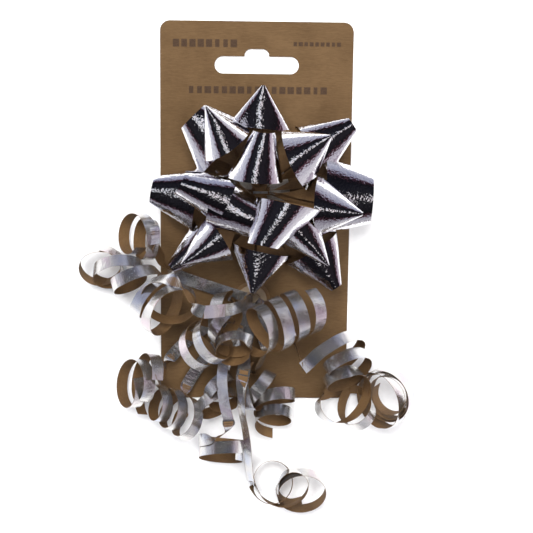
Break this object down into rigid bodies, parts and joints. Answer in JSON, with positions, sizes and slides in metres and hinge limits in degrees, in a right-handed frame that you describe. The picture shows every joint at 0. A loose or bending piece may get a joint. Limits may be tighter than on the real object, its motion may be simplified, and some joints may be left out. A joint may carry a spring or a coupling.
{
  "type": "pre-made gift bow",
  "caption": "Peel-and-stick star gift bow of cone-shaped foil loops with a spray of curled foil ribbon, both on a kraft hang card with a hang slot.",
  "frame": {"origin": "centre of the hang card's back face, on the surface that the card lies on", "axes": "+Y up the card towards its hang slot, +Z out of the card's front, towards the bow"},
  "size_m": [0.1328, 0.2012, 0.0407],
  "materials": {
    "kraft_card": "uncoated kraft board",
    "release_liner": "glossy silicone-coated paper",
    "adhesive_foam": "soft foam tape",
    "backing_board": "uncoated board",
    "staple_wire": "bright wire",
    "bow_foil": "mirror-bright metallised film on kraft paper",
    "curl_foil": "satin metallised film on kraft paper"
  },
  "bodies": {
    "card": {"hang_card": "kraft_card", "bow_release_liner": "release_liner", "spray_release_liner": "release_liner"},
    "bow": {"bow_adhesive_pad": "adhesive_foam", "bow_backing_disc": "backing_board", "bow_hub": "bow_foil", "bow_staple": "staple_wire", "crown_loop_1": "bow_foil", "crown_loop_2": "bow_foil", "crown_loop_3": "bow_foil", "middle_loop_1": "bow_foil", "middle_loop_2": "bow_foil", "middle_loop_3": "bow_foil", "middle_loop_4": "bow_foil", "middle_loop_5": "bow_foil", "middle_loop_6": "bow_foil", "outer_loop_1": "bow_foil", "outer_loop_2": "bow_foil", "outer_loop_3": "bow_foil", "outer_loop_4": "bow_foil", "outer_loop_5": "bow_foil", "outer_loop_6": "bow_foil", "outer_loop_7": "bow_foil", "outer_loop_8": "bow_foil"},
    "spray": {"spray_adhesive_pad": "adhesive_foam", "spray_tie": "curl_foil", "bottom_strand": "curl_foil", "centre_strand": "curl_foil", "front_right_strand": "curl_foil", "inner_strand": "curl_foil", "knot_curl": "curl_foil", "low_left_strand": "curl_foil", "near_left_strand": "curl_foil", "upper_left_lead": "curl_foil", "left_lead": "curl_foil", "lower_left_lead": "curl_foil", "right_lead": "curl_foil", "pigtail_lead": "curl_foil"},
    "upper_left_strand_body": {"upper_left_strand": "curl_foil"},
    "left_strand_body": {"left_strand": "curl_foil", "left_strand_helix": "curl_foil"},
    "lower_left_strand_body": {"lower_left_strand": "curl_foil"},
    "right_strand_body": {"right_strand": "curl_foil", "right_strand_low_coil": "curl_foil", "right_strand_end_coil": "curl_foil"},
    "pigtail_strand_body": {"pigtail_strand": "curl_foil", "pigtail_coils": "curl_foil"}
  },
  "joints": [
    {"name": "bow_lift", "type": "slide", "parent": "card", "child": "bow", "axis": [0, 0, 1], "range_m": [0, 0.1]},
    {"name": "spray_peel", "type": "slide", "parent": "card", "child": "spray", "axis": [0, -0.9397, 0.3419], "range_m": [0, 0.12]},
    {"name": "upper_left_lift", "type": "hinge", "parent": "spray", "child": "upper_left_strand_body", "pos_m": [-0.039, -0.0098, 0.0196], "axis": [0.3457, 0.9383, 0], "range_deg": [0, 45]},
    {"name": "left_lift", "type": "hinge", "parent": "spray", "child": "left_strand_body", "pos_m": [-0.0195, -0.0335, 0.034], "axis": [0, 1, 0], "range_deg": [0, 35]},
    {"name": "lower_left_lift", "type": "hinge", "parent": "spray", "child": "lower_left_strand_body", "pos_m": [-0.0382, -0.0639, 0.0196], "axis": [-0.3344, 0.9424, 0], "range_deg": [0, 45]},
    {"name": "right_lift", "type": "hinge", "parent": "spray", "child": "right_strand_body", "pos_m": [0.019, -0.058, 0.0224], "axis": [0.1789, -0.9839, 0], "range_deg": [0, 45]},
    {"name": "pigtail_lift", "type": "hinge", "parent": "spray", "child": "pigtail_strand_body", "pos_m": [-0.004, -0.059, 0.0208], "axis": [-1, 0, 0], "range_deg": [0, 60]}
  ]
}
